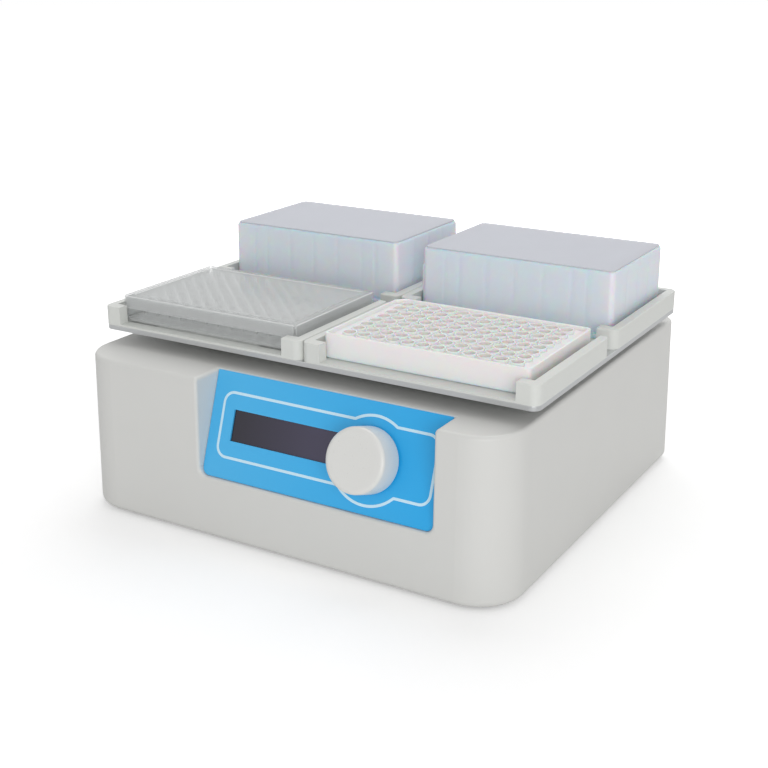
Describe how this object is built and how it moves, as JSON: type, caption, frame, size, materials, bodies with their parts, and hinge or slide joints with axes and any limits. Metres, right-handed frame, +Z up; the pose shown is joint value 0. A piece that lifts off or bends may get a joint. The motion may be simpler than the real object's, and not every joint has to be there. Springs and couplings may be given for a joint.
{
  "type": "microplate shaker",
  "caption": "Bench orbital shaker: low moulded housing, leaning panel with display and knob, and a flat platform whose nests carry well plates.",
  "frame": {"origin": "on the bench, under the middle of the whole object's box", "axes": "+Z up, +X to the operator's right, -Y towards the operator, who faces the panel and knob"},
  "size_m": [0.2784, 0.2638, 0.1444],
  "materials": {
    "housing": "satin moulded",
    "underside": "satin",
    "foot_rubber": "matte",
    "fastener_steel": "satin",
    "panel_blue": "satin printed",
    "display_window": "glossy",
    "display_parts": "matte",
    "knob": "satin",
    "encoder_metal": "satin",
    "platform_metal": "satin, bright edge",
    "holder": "satin",
    "clear_polystyrene": "clear",
    "white_polystyrene": "satin",
    "hazy_polypropylene": "translucent",
    "sealing_film": "hazy",
    "deck_steel": "satin",
    "motor_paint": "satin",
    "rotor_steel": "satin",
    "counterweight_iron": "matte",
    "bearing_steel": "polished",
    "bearing_housing": "satin",
    "circuit_board": "satin",
    "board_part": "satin",
    "supply_case": "satin",
    "black_plastic": "satin"
  },
  "bodies": {
    "base": {"housing_shell": "housing", "base_plate": "underside", "rubber_feet": "foot_rubber", "base_screws": "fastener_steel", "control_fascia": "panel_blue", "display_lens": "display_window", "display_module": "display_parts", "encoder_body": "encoder_metal", "encoder_nut": "fastener_steel", "deck_plate": "deck_steel", "deck_pillars": "deck_steel", "deck_screws": "fastener_steel", "motor_case": "motor_paint", "motor_bearings": "bearing_steel", "idler_towers": "bearing_housing", "idler_bearings": "bearing_steel", "control_board": "circuit_board", "board_parts": "board_part", "board_posts": "black_plastic", "power_supply": "supply_case", "power_inlet": "black_plastic", "rocker_frame": "black_plastic"},
    "crank": {"motor_rotor": "rotor_steel", "drive_crank": "rotor_steel", "counterweight": "counterweight_iron"},
    "platform": {"platform_plate": "platform_metal", "platform_hubs": "bearing_housing", "platform_bearings": "bearing_steel", "holder_front_left": "holder", "holder_front_right": "holder", "holder_rear_left": "holder", "holder_rear_right": "holder", "holder_screws": "fastener_steel"},
    "clear_plate": {"clear_plate": "clear_polystyrene"},
    "clear_lid": {"clear_lid": "clear_polystyrene"},
    "white_plate": {"white_plate": "white_polystyrene"},
    "deep_plate_left": {"deep_plate_left": "hazy_polypropylene", "deep_film_left": "sealing_film"},
    "deep_plate_right": {"deep_plate_right": "hazy_polypropylene", "deep_film_right": "sealing_film"},
    "encoder_rotor": {"encoder_disc": "black_plastic"},
    "speed_knob": {"control_knob": "knob", "encoder_shaft": "encoder_metal"},
    "power_rocker": {"rocker_button": "black_plastic"},
    "idler_front_left": {"idler_front_left": "rotor_steel"},
    "idler_front_right": {"idler_front_right": "rotor_steel"},
    "idler_rear_left": {"idler_rear_left": "rotor_steel"},
    "idler_rear_right": {"idler_rear_right": "rotor_steel"}
  },
  "joints": [
    {"name": "crank_spin", "type": "hinge", "parent": "base", "child": "crank", "pos_m": [0, 0.00959, 0.073], "axis": [0, 0, 1], "continuous": true},
    {"name": "platform_orbit", "type": "hinge", "parent": "crank", "child": "platform", "pos_m": [0, 0.01109, 0.091], "axis": [0, 0, 1], "continuous": true},
    {"name": "idler_front_left_spin", "type": "hinge", "parent": "base", "child": "idler_front_left", "pos_m": [-0.086, -0.04041, 0.069], "axis": [0, 0, 1], "continuous": true},
    {"name": "idler_front_right_spin", "type": "hinge", "parent": "base", "child": "idler_front_right", "pos_m": [0.086, -0.04041, 0.069], "axis": [0, 0, 1], "continuous": true},
    {"name": "idler_rear_left_spin", "type": "hinge", "parent": "base", "child": "idler_rear_left", "pos_m": [-0.086, 0.05959, 0.069], "axis": [0, 0, 1], "continuous": true},
    {"name": "idler_rear_right_spin", "type": "hinge", "parent": "base", "child": "idler_rear_right", "pos_m": [0.086, 0.05959, 0.069], "axis": [0, 0, 1], "continuous": true},
    {"name": "knob_turn", "type": "hinge", "parent": "base", "child": "encoder_rotor", "pos_m": [0.0549, -0.11044, 0.06488], "axis": [0, -0.9455, 0.3256], "continuous": true},
    {"name": "knob_press", "type": "slide", "parent": "encoder_rotor", "child": "speed_knob", "axis": [0, 0.9455, -0.3256], "range_m": [0, 0.0008], "stiffness_N_per_m": 60, "springref_m": -0.0008},
    {"name": "power_switch", "type": "hinge", "parent": "base", "child": "power_rocker", "pos_m": [0.036, 0.12602, 0.03393], "axis": [1, 0, 0], "range_deg": [0, 20]},
    {"name": "clear_plate_lift", "type": "slide", "parent": "platform", "child": "clear_plate", "axis": [0, 0, 1], "range_m": [0, 0.06]},
    {"name": "clear_lid_lift", "type": "slide", "parent": "clear_plate", "child": "clear_lid", "axis": [0, 0, 1], "range_m": [0, 0.045]},
    {"name": "white_plate_lift", "type": "slide", "parent": "platform", "child": "white_plate", "axis": [0, 0, 1], "range_m": [0, 0.06]},
    {"name": "deep_plate_left_lift", "type": "slide", "parent": "platform", "child": "deep_plate_left", "axis": [0, 0, 1], "range_m": [0, 0.06]},
    {"name": "deep_plate_right_lift", "type": "slide", "parent": "platform", "child": "deep_plate_right", "axis": [0, 0, 1], "range_m": [0, 0.06]}
  ],
  "couplings": [
    {"joint": "platform_orbit", "follows": "crank_spin", "ratio": -1},
    {"joint": "idler_front_left_spin", "follows": "crank_spin", "ratio": 1},
    {"joint": "idler_front_right_spin", "follows": "crank_spin", "ratio": 1},
    {"joint": "idler_rear_left_spin", "follows": "crank_spin", "ratio": 1},
    {"joint": "idler_rear_right_spin", "follows": "crank_spin", "ratio": 1}
  ]
}
